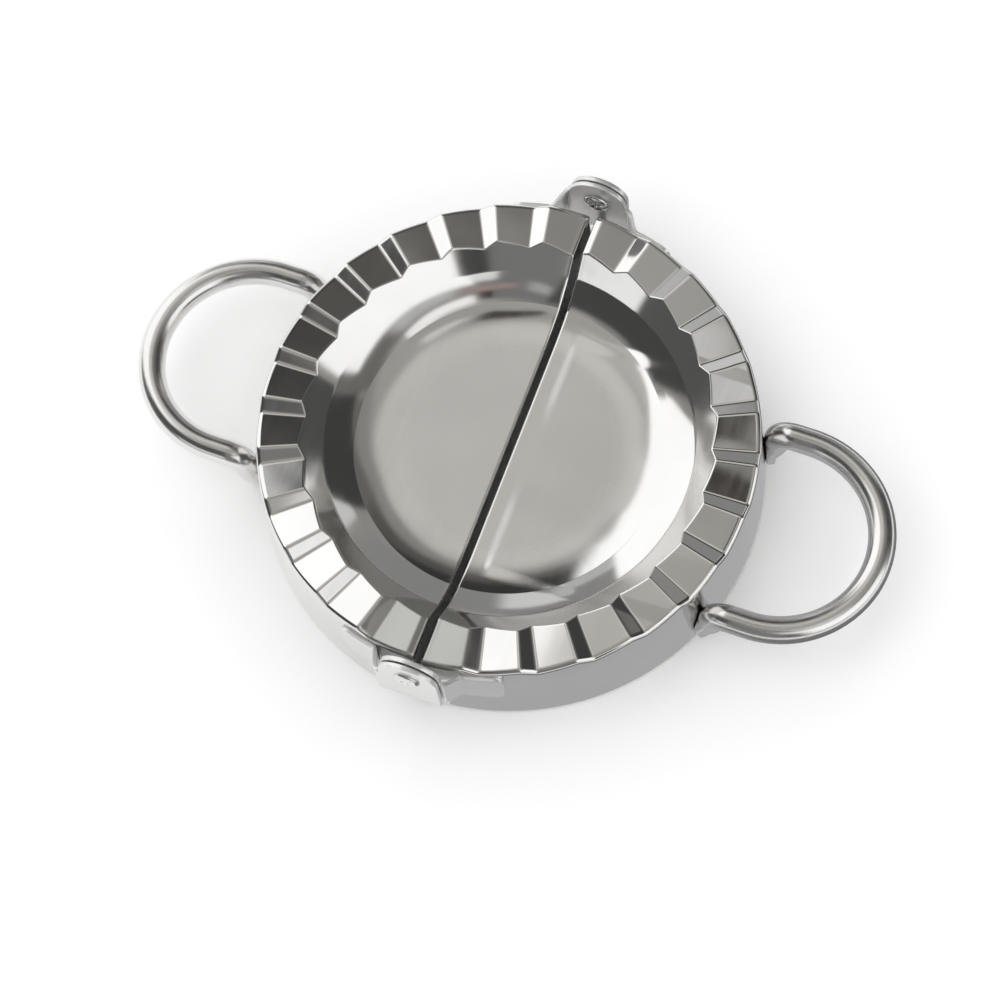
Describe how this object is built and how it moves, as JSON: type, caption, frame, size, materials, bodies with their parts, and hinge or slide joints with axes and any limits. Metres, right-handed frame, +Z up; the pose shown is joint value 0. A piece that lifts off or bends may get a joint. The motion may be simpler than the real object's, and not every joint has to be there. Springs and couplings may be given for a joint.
{
  "type": "empanada press",
  "caption": "Hand-held empanada press: two hinged half-moon steel shells with toothed crimping rims and a round handle loop on each.",
  "frame": {"origin": "centre of the press's round base, on the surface it stands on", "axes": "+Z up out of the bowl, fold axis along Y, +X towards the half that folds over"},
  "size_m": [0.137, 0.0962, 0.0253],
  "materials": {
    "polished_shell": "pressed stainless sheet, mirror-polished, with fine forming lines on the floor",
    "polished_bar": "polished stainless round bar",
    "plate_steel": "bright stainless plate, slightly satin",
    "rivet_steel": "stainless rivet, peened and tumbled bright"
  },
  "bodies": {
    "left_half": {"left_shell": "polished_shell", "left_handle": "polished_bar", "left_far_hinge_plate": "plate_steel", "left_near_hinge_plate": "plate_steel", "far_rivet": "rivet_steel", "near_rivet": "rivet_steel"},
    "right_half": {"right_shell": "polished_shell", "right_handle": "polished_bar", "right_far_hinge_plate": "plate_steel", "right_near_hinge_plate": "plate_steel"}
  },
  "joints": [
    {"name": "fold", "type": "hinge", "parent": "left_half", "child": "right_half", "pos_m": [0, 0, 0.0201], "axis": [0, -1, 0], "range_deg": [0, 183]}
  ]
}
